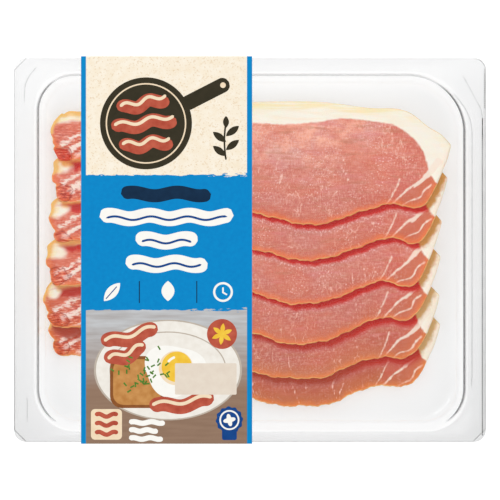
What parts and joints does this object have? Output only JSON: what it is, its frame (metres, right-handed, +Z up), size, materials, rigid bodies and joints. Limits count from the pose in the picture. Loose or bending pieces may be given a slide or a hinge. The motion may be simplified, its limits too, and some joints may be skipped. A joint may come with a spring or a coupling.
{
  "type": "bacon pack",
  "caption": "Sealed clear plastic tray of shingled back bacon rashers under a clear lidding film, with a printed card band wrapped round it",
  "frame": {"origin": "middle of the bounding box at its underside, on the surface that the pack lies on", "axes": "+X to the right of the shown face, +Y to its head, +Z up through the film"},
  "size_m": [0.236, 0.1938, 0.0198],
  "materials": {
    "tray_plastic": "clear thermoformed sheet, glossy",
    "film_plastic": "clear lidding film, glossy, sealed along the flange",
    "printed_card": "printed coated card, satin: speckled cream, blue and a picture field",
    "bacon": "moist cut meat: pink lean, cream fat and a tan rind"
  },
  "bodies": {
    "root": {"tray": "tray_plastic", "lidding_film": "film_plastic", "card_band": "printed_card", "rasher_1": "bacon", "rasher_2": "bacon", "rasher_3": "bacon", "rasher_4": "bacon", "rasher_5": "bacon", "rasher_6": "bacon"}
  },
  "joints": []
}
